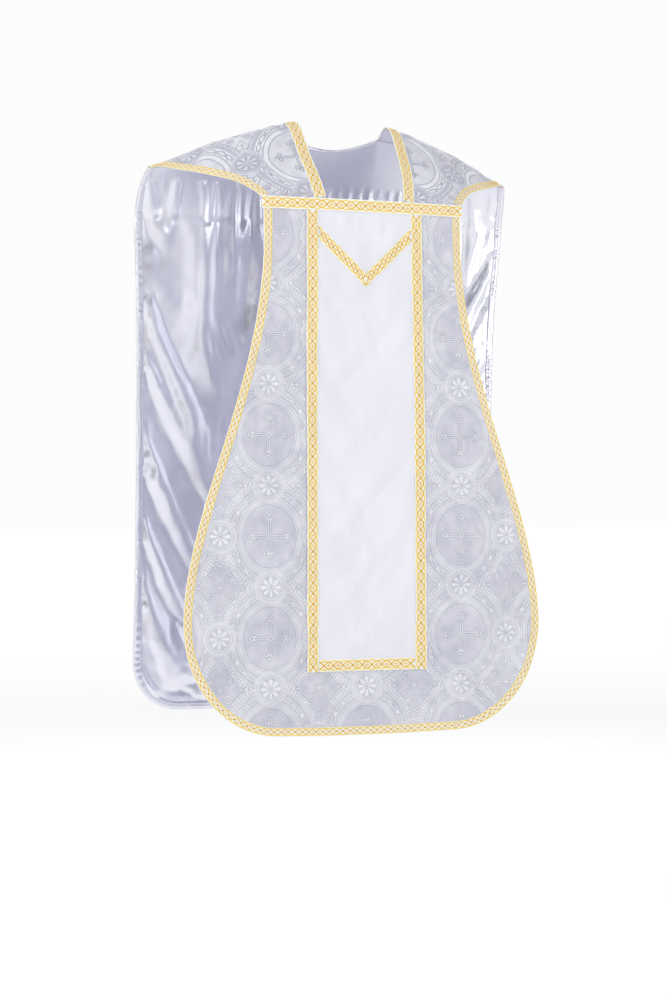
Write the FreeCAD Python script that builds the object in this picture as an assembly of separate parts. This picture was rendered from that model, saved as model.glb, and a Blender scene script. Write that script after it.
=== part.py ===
import FreeCAD, Part
import math
import os

# Chasuble of the fiddleback cut, as an assembly of cloth layers and braids.
# Millimetres. +Z is up, +X is the wearer's left, the front faces -Y.
# The origin is the middle of the neck opening at the height where the
# shoulder pieces rest on the wearer.

# Cloth layers, counted inwards from the face of the brocade
BROCADE_T = 0.8
CANVAS_T = 0.8
LINING_T = 0.5
FACING_T = 0.4
ORPHREY_T = 0.6
BRAID_T = 1.0
LAYER_GAP = 0.3

BROCADE = (0.0, BROCADE_T)
CANVAS = (BROCADE[1] + LAYER_GAP, BROCADE[1] + LAYER_GAP + CANVAS_T)
LINING = (CANVAS[1] + LAYER_GAP, CANVAS[1] + LAYER_GAP + LINING_T)
FACING = (LINING[1] + LAYER_GAP, LINING[1] + LAYER_GAP + FACING_T)
BRAID = (-LAYER_GAP - BRAID_T, -LAYER_GAP)
ORPHREY = (-LAYER_GAP - ORPHREY_T, -LAYER_GAP)
RAISED_BRAID = (ORPHREY[0] - LAYER_GAP - BRAID_T, ORPHREY[0] - LAYER_GAP)

# Braid widths
WIDE_BRAID = 22.0
EDGE_BRAID = 15.0
FACING_W = 14.0
JOIN_GAP = 0.4

# Chest line, where the front panel hangs from the shoulder pieces
CHEST_TOP = -145.0
FRONT_HINGE_Z = -166.7
HINGE_GAP = 0.3
CHEST_HALF = 187.0
CHEST_BRAID_HALF = 190.0

# Front panel
FRONT_TOP = FRONT_HINGE_Z - HINGE_GAP
FRONT_HEM = -1085.0
FRONT_HALF = 338.0
FRONT_WAIST_Z = -215.0
FRONT_HIP_Z = -890.0
FRONT_CORNER_X = 165.0
FRONT_CORNER_Z = -1082.0
WAIST_PULL = 243.0
HIP_PULL = 192.0
ROUND_PULL = 0.5523
CHEST_DEPTH = 97.0
FRONT_SWELL = 11.0
FRONT_CHEST_SAG = 7.0
FRONT_HEM_SAG = 0.0

# Front pillar and its V of braid
PILLAR_TOP_HALF = 110.0
PILLAR_FOOT_HALF = 114.0
PILLAR_FOOT_Z = -973.0
CHEVRON_ARM_TOP = -190.5
CHEVRON_ARM_DROP = 26.0
CHEVRON_NOTCH = -271.5
CHEVRON_POINT = -303.0

# Back panel and upper back
BACK_HINGE_Z = -176.7
BACK_TOP = BACK_HINGE_Z - HINGE_GAP
BACK_HEM = -1052.0
BACK_HALF = 362.0
BACK_ARM_Z = -190.0
BACK_WAIST = ((350.0, -340.0), (347.0, -620.0))
BACK_CORNER_HALF = 356.0
BACK_CORNER_R = 88.0
BACK_EDGE_DEPTH = 102.0
BACK_SWELL = 28.0
BACK_CROWN = 12.0
BACK_SWELL_RATE = 3.0

# Rails of the shoulder pieces: neck edge and arm edge, chest to shoulder seam
NECK_RAIL = (
    (73.0, -97.0, -144.4), (77.0, -88.0, -121.0), (81.0, -74.0, -96.0),
    (84.5, -53.0, -68.0), (86.5, -31.0, -37.0), (88.0, -5.0, -6.0),
    (89.0, 22.0, 4.5), (92.0, 60.0, -10.0),
)
ARM_RAIL = (
    (190.0, -88.0, -144.4), (204.0, -73.0, -131.0), (226.0, -52.0, -116.0),
    (254.0, -30.0, -106.0), (283.0, -11.0, -98.5), (310.0, 15.0, -91.5),
    (333.0, 43.0, -85.0), (350.0, 62.0, -87.0),
)
SHOULDER_CROWN = 12.0
CROWN_START = 1.6
SEAM_GAP = 1.0
SEAM_TRIM = 0.6
SEAM_TRIM_PER_DEPTH = 1.25
CHEST_TRIM_PER_DEPTH = 0.4
SEAM_RAIL_LENGTH = 180.0

# Neck edge of the upper back
NAPE_DROP = 22.0
NAPE_DEPTH = 20.0
EDGE_FLARE = 12.0
UPPER_BACK_ROUND = 1.8

REACH = 400.0
OUT = "parts"


def vec(x, y, z):
    return FreeCAD.Vector(x, y, z)


def between(a, b, t):
    return a + (b - a) * t


# ---------------------------------------------------------------- surfaces

def front_y(x, z):
    """Depth of the brocade face of the front panel."""
    s = (FRONT_TOP - z) / (FRONT_TOP - FRONT_HEM)
    swell = FRONT_SWELL * math.sin(0.5 * math.pi * s)
    half = between(CHEST_HALF, FRONT_HALF, s)
    sag = between(FRONT_CHEST_SAG, FRONT_HEM_SAG, s)
    return -CHEST_DEPTH - swell + sag * (x / half) ** 2


def back_y(x, z):
    """Depth of the brocade face of the back panel."""
    s = (BACK_TOP - z) / (BACK_TOP - BACK_HEM)
    swell = (1.0 - math.exp(-BACK_SWELL_RATE * s)) / (1.0 - math.exp(-BACK_SWELL_RATE))
    crown = BACK_CROWN * (1.0 - (x / BACK_HALF) ** 2)
    return BACK_EDGE_DEPTH + BACK_SWELL * swell + crown


def rail_point(rail, t):
    """Point at t = 0..1 on a smooth rail through evenly spaced stations."""
    n = len(rail) - 1
    i = min(int(t * n), n - 1)
    f = t * n - i
    p = [vec(*rail[min(max(k, 0), n)]) for k in (i - 1, i, i + 1, i + 2)]
    if i == 0:
        p[0] = p[1] * 2.0 - p[2]
    if i == n - 1:
        p[3] = p[2] * 2.0 - p[1]
    a = p[1] * 2.0
    b = (p[2] - p[0]) * f
    c = (p[0] * 2.0 - p[1] * 5.0 + p[2] * 4.0 - p[3]) * f ** 2
    d = (p[1] * 3.0 - p[0] - p[2] * 3.0 + p[3]) * f ** 3
    return (a + b + c + d) * 0.5


def shoulder_crown(u):
    return SHOULDER_CROWN * 4.0 * u * (1.0 - u)


def shoulder_point(t, u):
    """Brocade face of the left shoulder: t chest to seam, u neck to arm."""
    neck = rail_point(NECK_RAIL, t)
    arm = rail_point(ARM_RAIL, t)
    rise = math.sin(0.5 * math.pi * min(1.0, CROWN_START * t))
    return neck + (arm - neck) * u + vec(0, 0, shoulder_crown(u) * rise)


def shoulder_normal(t, u):
    step = 0.01
    t0, t1 = max(0.0, t - step), min(1.0, t + step)
    u0, u1 = max(0.0, u - step), min(1.0, u + step)
    along = shoulder_point(t1, u) - shoulder_point(t0, u)
    across = shoulder_point(t, u1) - shoulder_point(t, u0)
    n = across.cross(along)
    n.normalize()
    return n


def upper_back_point(u, s):
    """Brocade face of the upper back: u side to side, s seam to hinge line."""
    seam_x, seam_y, seam_z = NECK_RAIL[-1]
    tip_x, tip_y, tip_z = ARM_RAIL[-1]
    x0 = abs(u) * tip_x
    if x0 > seam_x:
        k = (x0 - seam_x) / (tip_x - seam_x)
        y0 = between(seam_y, tip_y, k)
        z0 = between(seam_z, tip_z, k) + shoulder_crown(k)
    else:
        k = 1.0 - (x0 / seam_x) ** 2
        y0 = seam_y + NAPE_DEPTH * k
        z0 = seam_z - NAPE_DROP * k
    z0 = z0 - SEAM_GAP
    x1 = u * (tip_x + EDGE_FLARE * (1.0 - (1.0 - s) ** 3))
    z1 = between(z0, BACK_HINGE_Z + HINGE_GAP, s)
    y1 = between(y0, back_y(x1, BACK_TOP), 1.0 - (1.0 - s) ** UPPER_BACK_ROUND)
    return vec(x1, y1, z1)


# ------------------------------------------------------------ solid makers

def grid_face(rows):
    surface = Part.BSplineSurface()
    surface.interpolate(rows)
    return surface.toShape()


def stations(a, b, n):
    return [between(a, b, i / (n - 1.0)) for i in range(n)]


def slab(depth_at, inward, layer, z_low, z_high):
    """Curved sheet one layer thick, wider than any panel."""
    shift = inward * layer[0]
    rows = []
    for x in stations(-REACH, REACH, 9):
        rows.append([vec(x, depth_at(x, z) + shift, z) for z in stations(z_low, z_high, 9)])
    return grid_face(rows).extrude(vec(0, inward * (layer[1] - layer[0]), 0))


def prism(wire):
    return Part.Face(wire).extrude(vec(0, 2.0 * REACH, 0))


def polygon(points):
    corners = [vec(x, -REACH, z) for x, z in points]
    return prism(Part.makePolygon(corners + corners[:1]))


def bezier(points):
    curve = Part.BezierCurve()
    curve.setPoles([vec(x, -REACH, z) for x, z in points])
    return curve.toShape()


def line(a, b):
    return Part.makeLine(vec(a[0], -REACH, a[1]), vec(b[0], -REACH, b[1]))


def mirrored(points):
    return [(-x, z) for x, z in points]


def front_outline(inset, top):
    """Outline of the front panel, drawn in by inset, with its top edge at top."""
    chest = CHEST_HALF - inset
    hip = FRONT_HALF - inset
    corner_x = FRONT_CORNER_X
    corner_z = FRONT_CORNER_Z + inset
    waist = (chest, FRONT_WAIST_Z)
    side = [waist, (chest, FRONT_WAIST_Z - WAIST_PULL), (hip, FRONT_HIP_Z + HIP_PULL),
            (hip, FRONT_HIP_Z)]
    round_z = FRONT_HIP_Z - ROUND_PULL * (FRONT_HIP_Z - corner_z)
    round_x = corner_x + ROUND_PULL * (hip - corner_x)
    corner = [side[-1], (hip, round_z), (round_x, corner_z), (corner_x, corner_z)]
    low = FRONT_HEM + inset
    hem = Part.Arc(vec(corner_x, -REACH, corner_z), vec(0, -REACH, low),
                   vec(-corner_x, -REACH, corner_z)).toShape()
    edges = [line((-chest, top), (chest, top)), line((chest, top), waist)]
    edges += [bezier(side), bezier(corner), hem, bezier(mirrored(corner)), bezier(mirrored(side))]
    edges.append(line((-chest, FRONT_WAIST_Z), (-chest, top)))
    return prism(Part.Wire(Part.__sortEdges__(edges)))


def back_outline(inset, top):
    """Outline of the back panel, drawn in by inset, with its top edge at top."""
    low = BACK_HEM + inset
    radius = BACK_CORNER_R - inset
    half = BACK_CORNER_HALF - inset
    arm = BACK_HALF - inset
    pulls = [(x - inset, z) for x, z in BACK_WAIST]
    side = [(arm, BACK_ARM_Z)] + pulls + [(half, low + radius)]
    mid = radius * math.sqrt(0.5)
    edges = [line((-arm, top), (arm, top))]
    for sign in (1.0, -1.0):
        centre = (sign * (half - radius), low + radius)
        edges.append(line((sign * arm, top), (sign * arm, BACK_ARM_Z)))
        edges.append(bezier([(sign * x, z) for x, z in side]))
        edges.append(Part.Arc(vec(sign * half, -REACH, centre[1]),
                              vec(centre[0] + sign * mid, -REACH, centre[1] - mid),
                              vec(centre[0], -REACH, low)).toShape())
    edges.append(line((-(half - radius), low), (half - radius, low)))
    return prism(Part.Wire(Part.__sortEdges__(edges)))


def skin_solid(outer_rows, inner_rows):
    """Solid between two smooth grids that share their layout."""
    surfaces = [Part.BSplineSurface(), Part.BSplineSurface()]
    surfaces[0].interpolate(outer_rows)
    surfaces[1].interpolate(inner_rows)
    faces = [surface.toShape() for surface in surfaces]
    u0, u1, v0, v1 = surfaces[0].bounds()
    for cut, place in (("uIso", u0), ("uIso", u1), ("vIso", v0), ("vIso", v1)):
        rims = [getattr(surface, cut)(place).toShape() for surface in surfaces]
        faces.append(Part.makeRuledSurface(rims[0], rims[1]))
    shell = Part.makeShell(faces)
    shell.sewShape()
    solid = Part.makeSolid(shell)
    if solid.Volume < 0:
        solid.reverse()
    return solid


def shoulder_patch(layer, t_range, u_range):
    """Curved sheet of one layer on the left shoulder."""
    outer, inner = [], []
    for t in stations(t_range[0], t_range[1], 29):
        u0, u1 = u_range(t)
        spots = [(shoulder_point(t, u), shoulder_normal(t, u)) for u in stations(u0, u1, 6)]
        outer.append([p - n * layer[0] for p, n in spots])
        inner.append([p - n * layer[1] for p, n in spots])
    return skin_solid(outer, inner)


def upper_back_patch(layer, u_range, s_range, columns):
    rows = []
    for u in stations(u_range[0], u_range[1], columns):
        top, foot = s_range(u)
        rows.append([upper_back_point(u, s) - vec(0, layer[0], 0) for s in stations(top, foot, 6)])
    return grid_face(rows).extrude(vec(0, layer[0] - layer[1], 0))


def mirror_x(shape):
    return shape.mirror(vec(0, 0, 0), vec(1, 0, 0))


# ------------------------------------------------------------------- parts

parts = {}


def add_pair(name, left_shape):
    parts[name + "_left"] = left_shape
    parts[name + "_right"] = mirror_x(left_shape)


def rail_gap(t):
    return (rail_point(ARM_RAIL, t) - rail_point(NECK_RAIL, t)).Length


def neck_strip(t):
    return 0.0, WIDE_BRAID / rail_gap(t)


def arm_strip(t):
    return 1.0 - EDGE_BRAID / rail_gap(t), 1.0


def whole_width(t):
    return 0.0, 1.0


# Shoulder pieces; each inner layer stops a little short of the seam line
for name, layer in (("brocade", BROCADE), ("canvas", CANVAS), ("lining", LINING)):
    first = CHEST_TRIM_PER_DEPTH * layer[1] / SEAM_RAIL_LENGTH
    last = 1.0 - (SEAM_TRIM + SEAM_TRIM_PER_DEPTH * layer[1]) / SEAM_RAIL_LENGTH
    add_pair("shoulder_" + name, shoulder_patch(layer, (first, last), whole_width))

BRAID_SPAN = (2.0 / SEAM_RAIL_LENGTH, 1.0 - 3.0 / SEAM_RAIL_LENGTH)
add_pair("neck_galloon", shoulder_patch(BRAID, BRAID_SPAN, neck_strip))
add_pair("arm_galloon", shoulder_patch(BRAID, BRAID_SPAN, arm_strip))

def drop_share(u, distance):
    """Share of the seam-to-hinge height that a distance takes at u."""
    return distance / (upper_back_point(u, 0.0).z - upper_back_point(u, 1.0).z)


# Upper back, from the shoulder seam down to the hinge line
for name, layer in (("brocade", BROCADE), ("canvas", CANVAS), ("lining", LINING)):
    parts["upper_back_" + name] = upper_back_patch(
        layer, (-1.0, 1.0), lambda u: (drop_share(u, layer[0]), 1.0), 17)


def nape_range(u):
    return 0.0, drop_share(u, WIDE_BRAID)


def cross_range(u):
    return 1.0 - drop_share(u, WIDE_BRAID), 1.0


def edge_range(u):
    return 0.03, 1.0


TIP_X = ARM_RAIL[-1][0]
NAPE_U = (NECK_RAIL[-1][0] - JOIN_GAP) / TIP_X
EDGE_U = 1.0 - EDGE_BRAID / TIP_X
CROSS_U = EDGE_U - JOIN_GAP / TIP_X
parts["neck_galloon_back"] = upper_back_patch(BRAID, (-NAPE_U, NAPE_U), nape_range, 9)
parts["upper_back_galloon"] = upper_back_patch(BRAID, (-CROSS_U, CROSS_U), cross_range, 13)
add_pair("upper_back_edge_galloon", upper_back_patch(BRAID, (EDGE_U, 1.0), edge_range, 4))


def front_piece(layer, tool):
    return slab(front_y, 1.0, layer, FRONT_HEM - 20.0, CHEST_TOP + 20.0).common(tool)


def back_piece(layer, tool):
    return slab(back_y, -1.0, layer, BACK_HEM - 20.0, BACK_TOP + 20.0).common(tool)


def box_outline(half, z_low, z_high):
    return polygon([(-half, z_low), (half, z_low), (half, z_high), (-half, z_high)])


# Chest band and the braid on its face
BAND_FOOT = FRONT_HINGE_Z + HINGE_GAP
parts["chest_band"] = front_piece((0.0, LINING[1]), box_outline(CHEST_HALF, BAND_FOOT, CHEST_TOP - 2.0))
parts["chest_galloon"] = front_piece(BRAID, box_outline(CHEST_BRAID_HALF, BAND_FOOT, CHEST_TOP))


def pillar_half(z, top):
    return between(PILLAR_TOP_HALF, PILLAR_FOOT_HALF, (top - z) / (top - PILLAR_FOOT_Z))


def panel_set(side, piece, outline, top, hinge_top):
    """Cloth layers, pillar and braids of one hanging panel."""
    whole = outline(0.0, top)
    for name, layer in (("brocade", BROCADE), ("canvas", CANVAS), ("lining", LINING)):
        parts[side + "_" + name] = piece(layer, whole)
    facing = whole.cut(outline(FACING_W, top + 1.0))
    parts[side + "_facing"] = piece(FACING, facing)
    border = whole.cut(outline(EDGE_BRAID, top + 1.0))
    parts[side + "_edge_galloon"] = piece(BRAID, border)

    foot = PILLAR_FOOT_Z
    a, b = pillar_half(top, top), pillar_half(foot, top)
    parts[side + "_orphrey"] = piece(ORPHREY, polygon([
        (-a + 2.0, top), (a - 2.0, top), (b - 2.0, foot + 2.0), (-b + 2.0, foot + 2.0)]))
    bar = polygon([(a - WIDE_BRAID, top), (a, top), (b, foot), (b - WIDE_BRAID, foot)])
    add_pair(side + "_pillar_galloon", piece(RAISED_BRAID, bar))
    inner = b - WIDE_BRAID - JOIN_GAP
    parts[side + "_pillar_galloon_foot"] = piece(
        RAISED_BRAID, box_outline(inner, foot, foot + WIDE_BRAID))

    shift = top - FRONT_TOP
    arm_top = CHEVRON_ARM_TOP + shift
    arm_x = pillar_half(arm_top, top) - WIDE_BRAID - 2.0 * JOIN_GAP
    tip = 0.5 * JOIN_GAP
    arm = polygon([
        (tip, CHEVRON_POINT + shift), (arm_x, arm_top - CHEVRON_ARM_DROP),
        (arm_x, arm_top), (tip, CHEVRON_NOTCH + shift)])
    add_pair(side + "_chevron_galloon", piece(RAISED_BRAID, arm))


panel_set("front", front_piece, front_outline, FRONT_TOP, FRONT_HINGE_Z)
panel_set("back", back_piece, back_outline, BACK_TOP, BACK_HINGE_Z)

os.makedirs(OUT, exist_ok=True)
for name, shape in sorted(parts.items()):
    if len(shape.Solids) == 1:
        shape = shape.Solids[0]
    shape.exportStep(os.path.join(OUT, name + ".step"))
    print(name, shape.isValid(), len(shape.Solids), len(shape.Faces), round(shape.Volume))
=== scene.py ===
import math

import bpy
import numpy as np
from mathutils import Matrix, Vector


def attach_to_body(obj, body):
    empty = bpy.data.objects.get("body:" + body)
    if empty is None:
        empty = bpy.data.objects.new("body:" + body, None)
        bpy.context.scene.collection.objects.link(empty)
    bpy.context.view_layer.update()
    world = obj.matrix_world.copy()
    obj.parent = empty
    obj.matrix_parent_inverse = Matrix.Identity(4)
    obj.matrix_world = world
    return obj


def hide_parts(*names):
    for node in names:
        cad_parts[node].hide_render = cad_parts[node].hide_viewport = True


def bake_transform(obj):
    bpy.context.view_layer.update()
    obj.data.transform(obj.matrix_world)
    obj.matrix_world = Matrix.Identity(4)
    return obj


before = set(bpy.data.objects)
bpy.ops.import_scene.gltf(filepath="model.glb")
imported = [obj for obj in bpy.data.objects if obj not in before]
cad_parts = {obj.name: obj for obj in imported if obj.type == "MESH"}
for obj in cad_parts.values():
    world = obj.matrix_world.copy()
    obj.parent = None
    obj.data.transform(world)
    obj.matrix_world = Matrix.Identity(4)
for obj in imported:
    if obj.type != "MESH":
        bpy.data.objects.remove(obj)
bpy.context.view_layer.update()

# Lengths are in millimetres until a mesh is made. +Z up, the front faces -Y.
MM = 0.001
YOKE, FRONT, BACK = "shoulder_yoke", "front_panel", "back_panel"

# base shapes: the same numbers as the CAD part

CHEST_TOP, FRONT_TOP, FRONT_HEM = -140.0, -167.0, -1085.0
FRONT_WAIST_Z, FRONT_HIP_Z = -215.0, -890.0
WAIST_PULL, HIP_PULL, ROUND_PULL = 243.0, 192.0, 0.5523
FRONT_CORNER_X, FRONT_CORNER_Z, HEM_DIP = 165.0, -1082.0, 3.0
CHEST_HALF, FRONT_HALF = 187.0, 338.0
CHEST_DEPTH, FRONT_SWELL, CHEST_SAG = 97.0, 11.0, 7.0
BACK_TOP, BACK_HEM, BACK_HALF = -177.0, -1052.0, 362.0
BACK_ARM_Z, BACK_WAIST = -190.0, ((350.0, -340.0), (347.0, -620.0))
BACK_CORNER_HALF, BACK_CORNER_R, BACK_FLARE = 356.0, 88.0, 12.0
BACK_EDGE_DEPTH, BACK_SWELL, BACK_CROWN = 102.0, 28.0, 12.0
SHOULDER_CROWN, NAPE_DIP, NAPE_DROP = 12.0, 20.0, 22.0

# Braids: width, and length of one repeat of their pattern
WIDE, NARROW = 22.0, 15.0
WIDE_REPEAT, NARROW_REPEAT, CHEVRON_REPEAT = 18.5, 13.0, 15.0

# Pillars and their V of braid
PILLAR_TOP_HALF, PILLAR_FLARE, PILLAR_SEAM = 110.0, 4.0, 102.0
PILLAR_FOOT, FOOT_REACH = -973.0, 91.5
CHEVRON_REACH, CHEVRON_TOP, CHEVRON_LOW = 88.1, -203.5, -287.3
BACK_SHIFT = -10.0
SIDES = (("left", 1), ("right", -1))

NECK_RAIL = np.array([
    (73.0, -97.0, -144.4), (77.0, -88.0, -121.0), (81.0, -74.0, -96.0),
    (84.5, -53.0, -68.0), (86.5, -31.0, -37.0), (88.0, -5.0, -6.0),
    (89.0, 22.0, 4.5), (92.0, 60.0, -10.0)])
ARM_RAIL = np.array([
    (190.0, -88.0, -144.4), (204.0, -73.0, -131.0), (226.0, -52.0, -116.0),
    (254.0, -30.0, -106.0), (283.0, -11.0, -98.5), (310.0, 15.0, -91.5),
    (333.0, 43.0, -85.0), (350.0, 62.0, -87.0)])


def unit(vectors):
    return vectors / np.linalg.norm(vectors, axis=-1, keepdims=True)


def front_y(x, z):
    s = (FRONT_TOP - z) / (FRONT_TOP - FRONT_HEM)
    half = CHEST_HALF + (FRONT_HALF - CHEST_HALF) * s
    swell = FRONT_SWELL * np.sin(0.5 * math.pi * s)
    return -CHEST_DEPTH - swell + CHEST_SAG * (1.0 - s) * (x / half) ** 2


def back_y(x, z):
    s = (BACK_TOP - z) / (BACK_TOP - BACK_HEM)
    swell = (1.0 - np.exp(-3.0 * s)) / (1.0 - math.exp(-3.0))
    return BACK_EDGE_DEPTH + BACK_SWELL * swell + BACK_CROWN * (1.0 - (x / BACK_HALF) ** 2)


def rail_point(rail, t):
    n = len(rail) - 1
    t = np.asarray(t, float)
    i = np.clip((t * n).astype(int), 0, n - 1)
    f = (t * n - i)[..., None]
    ends = np.vstack([2 * rail[0] - rail[1], rail, 2 * rail[-1] - rail[-2]])
    p0, p1, p2, p3 = ends[i], ends[i + 1], ends[i + 2], ends[i + 3]
    return 0.5 * (2 * p1 + (p2 - p0) * f + (2 * p0 - 5 * p1 + 4 * p2 - p3) * f ** 2
                  + (3 * p1 - p0 - 3 * p2 + p3) * f ** 3)


def shoulder_width(t):
    return np.linalg.norm(rail_point(ARM_RAIL, t) - rail_point(NECK_RAIL, t), axis=-1)


def shoulder_point(t, u):
    neck, arm = rail_point(NECK_RAIL, t), rail_point(ARM_RAIL, t)
    rise = np.sin(0.5 * math.pi * np.minimum(1.0, 1.6 * t))
    p = neck + (arm - neck) * u[..., None]
    p[..., 2] += SHOULDER_CROWN * 4 * u * (1 - u) * rise
    return p


def shoulder_normal(t, u):
    e = 0.01
    a = shoulder_point(np.minimum(1, t + e), u) - shoulder_point(np.maximum(0, t - e), u)
    b = shoulder_point(t, np.minimum(1, u + e)) - shoulder_point(t, np.maximum(0, u - e))
    return unit(np.cross(b, a))


def upper_back_point(u, s):
    seam, tip = NECK_RAIL[-1], ARM_RAIL[-1]
    x0 = np.abs(u) * tip[0]
    k = np.clip((x0 - seam[0]) / (tip[0] - seam[0]), 0, 1)
    y_out = seam[1] + (tip[1] - seam[1]) * k
    z_out = seam[2] + (tip[2] - seam[2]) * k + SHOULDER_CROWN * 4 * k * (1 - k)
    nape = np.clip(1.0 - (x0 / seam[0]) ** 2, 0, 1)
    y0 = np.where(x0 > seam[0], y_out, seam[1] + NAPE_DIP * nape)
    z0 = np.where(x0 > seam[0], z_out, seam[2] - NAPE_DROP * nape)
    x1 = u * (tip[0] + BACK_FLARE * (1.0 - (1.0 - s) ** 3))
    z1 = z0 + (BACK_TOP - z0) * s
    y1 = y0 + (back_y(x1, BACK_TOP) - y0) * (1.0 - np.maximum(1.0 - s, 0.0) ** 1.8)
    return np.stack([x1, y1, z1], -1)


def bezier(points, n):
    t = np.linspace(0, 1, n)[:, None]
    p = [np.array(q, float) for q in points]
    return (1 - t) ** 3 * p[0] + 3 * t * (1 - t) ** 2 * p[1] + 3 * t * t * (1 - t) * p[2] + t ** 3 * p[3]


def front_side(inset=0.0):
    """Side of the front panel from chest to the middle of the hem, as x, z."""
    chest, hip, low = CHEST_HALF - inset, FRONT_HALF - inset, FRONT_CORNER_Z + inset
    cx, waist, hip_z = FRONT_CORNER_X, FRONT_WAIST_Z, FRONT_HIP_Z
    top = np.array([(chest, z) for z in np.linspace(CHEST_TOP, waist, 12)])[:-1]
    side = bezier([(chest, waist), (chest, waist - WAIST_PULL),
                   (hip, hip_z + HIP_PULL), (hip, hip_z)], 90)[:-1]
    corner = bezier([(hip, hip_z), (hip, hip_z - ROUND_PULL * (hip_z - low)),
                     (cx + ROUND_PULL * (hip - cx), low), (cx, low)], 60)
    x = np.linspace(cx, 0, 24)[1:]
    hem = np.stack([x, low - HEM_DIP * (1 - (x / cx) ** 2)], -1)
    return np.vstack([top, side, corner, hem]), len(top) + len(side) + len(corner)


def back_side(inset=0.0):
    """Side of the back panel from the hinge line to the middle of the hem."""
    low, r, half = BACK_HEM + inset, BACK_CORNER_R - inset, BACK_CORNER_HALF - inset
    top = np.array([(BACK_HALF - inset, z) for z in (BACK_TOP, BACK_TOP - 6.0)])
    waist = [(x - inset, z) for x, z in BACK_WAIST]
    side = bezier([(BACK_HALF - inset, BACK_ARM_Z), *waist, (half, low + r)], 80)[:-1]
    a = np.linspace(0, math.pi / 2, 40)
    corner = np.stack([half - r + r * np.cos(a), low + r - r * np.sin(a)], -1)
    x = np.linspace(half - r, 0, 34)[1:]
    hem = np.stack([x, np.full_like(x, low)], -1)
    return np.vstack([top, side, corner, hem]), len(top) + len(side) + len(corner)


# folds of cloth

def ripple(x, z, seed, waves, longest, shortest, lean=0.0, spread=0.6):
    """Soft random relief, about -1 to 1: waves with upright crests, or slanted by lean."""
    rng = np.random.default_rng(seed)
    total = np.zeros(np.broadcast(x, z).shape)
    for _ in range(waves):
        length = longest * (shortest / longest) ** rng.random()
        angle = lean + spread * rng.normal()
        phase = rng.random() * 2 * math.pi
        k = 2 * math.pi / length
        total = total + np.sin(k * (x * math.cos(angle) + z * math.sin(angle)) + phase)
    return total / math.sqrt(waves)


def arc_length(points):
    """Distance of each point from the first one, along the line."""
    return np.concatenate([[0], np.cumsum(np.linalg.norm(np.diff(points, axis=0), axis=1))])


def smooth(a, b, v):
    """0 at a and 1 at b, smooth between."""
    t = np.clip((v - a) / (b - a), 0, 1)
    return t * t * (3 - 2 * t)


# mesh makers

# Spacing of the points of the panel cloths
GRID = 4.0


def add_object(name, data):
    obj = bpy.data.objects.new(name, data)
    bpy.context.scene.collection.objects.link(obj)
    return obj


def new_mesh(name, verts, quads, uv, mats, mat_of_face=None):
    """Mesh object from arrays in millimetres; uv is per vertex, in metres of cloth."""
    me = bpy.data.meshes.new(name)
    verts = np.ascontiguousarray(verts, np.float32) * np.float32(MM)
    quads = np.ascontiguousarray(quads, np.int32)
    n, m = len(verts), len(quads)
    me.vertices.add(n)
    me.vertices.foreach_set("co", verts.ravel())
    me.loops.add(m * 4)
    me.loops.foreach_set("vertex_index", quads.ravel())
    me.polygons.add(m)
    me.polygons.foreach_set("loop_start", np.arange(0, m * 4, 4, dtype=np.int32))
    layer = me.uv_layers.new(name="UVMap")
    layer.data.foreach_set("uv", np.ascontiguousarray(uv[quads.ravel()], np.float32).ravel())
    for mat in mats:
        me.materials.append(mat)
    if mat_of_face is not None:
        me.polygons.foreach_set("material_index", np.ascontiguousarray(mat_of_face, np.int32))
    me.polygons.foreach_set("use_smooth", np.full(m, True))
    me.update(calc_edges=True)
    me.validate()
    return add_object(name, me)


def grid_quads(rows, cols):
    r, c = np.meshgrid(np.arange(rows - 1), np.arange(cols - 1), indexing="ij")
    a = (r * cols + c).ravel()
    return np.stack([a, a + 1, a + cols + 1, a + cols], -1)


def closed_sheet(name, outer, inner, uv, mat):
    """Thin closed cloth between two grids of points of the same size."""
    rows, cols = outer.shape[:2]
    n = rows * cols
    verts = np.vstack([outer.reshape(-1, 3), inner.reshape(-1, 3)])
    face = grid_quads(rows, cols)
    rim = np.concatenate([
        np.arange(cols - 1), np.arange(cols - 1, n - 1, cols),
        np.arange(n - 1, n - cols, -1), np.arange(n - cols, 0, -cols)])
    nxt = np.roll(rim, -1)
    wall = np.stack([rim, rim + n, nxt + n, nxt], -1)
    quads = np.vstack([face, face[:, ::-1] + n, wall])
    mid = (rows // 2, cols // 2)
    e1 = outer[mid[0], mid[1] + 1] - outer[mid]
    e2 = outer[mid[0] + 1, mid[1]] - outer[mid]
    if np.dot(np.cross(e1, e2), outer[mid] - inner[mid]) < 0:
        quads = quads[:, ::-1]
    return new_mesh(name, verts, quads, np.vstack([uv.reshape(-1, 2)] * 2), [mat])


def panel_grid(outline, top):
    """Grid of x, z that fills a panel outline; rows follow the height."""
    line, last = outline
    x_edge, z_edge = line[:last].T
    heights = [top]
    while heights[-1] - GRID > z_edge[-1] + 6 * GRID:
        heights.append(heights[-1] - GRID)
    tail = z_edge[z_edge < heights[-1] - 0.4 * GRID]
    heights = np.concatenate([heights, tail])
    half = np.interp(-heights, -z_edge, x_edge)
    cols = int(2 * half.max() / GRID) | 1
    x = half[:, None] * np.linspace(-1, 1, cols)[None]
    z = np.repeat(heights[:, None], cols, 1)
    drop = smooth(z_edge[-1] + 60, z_edge[-1], z) * (z_edge[-1] - line[-1, 1])
    z = z - drop * (1 - np.clip(np.abs(x) / max(x_edge[-1], 1), 0, 1) ** 2)
    return x, z


# cloth simulation

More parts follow.
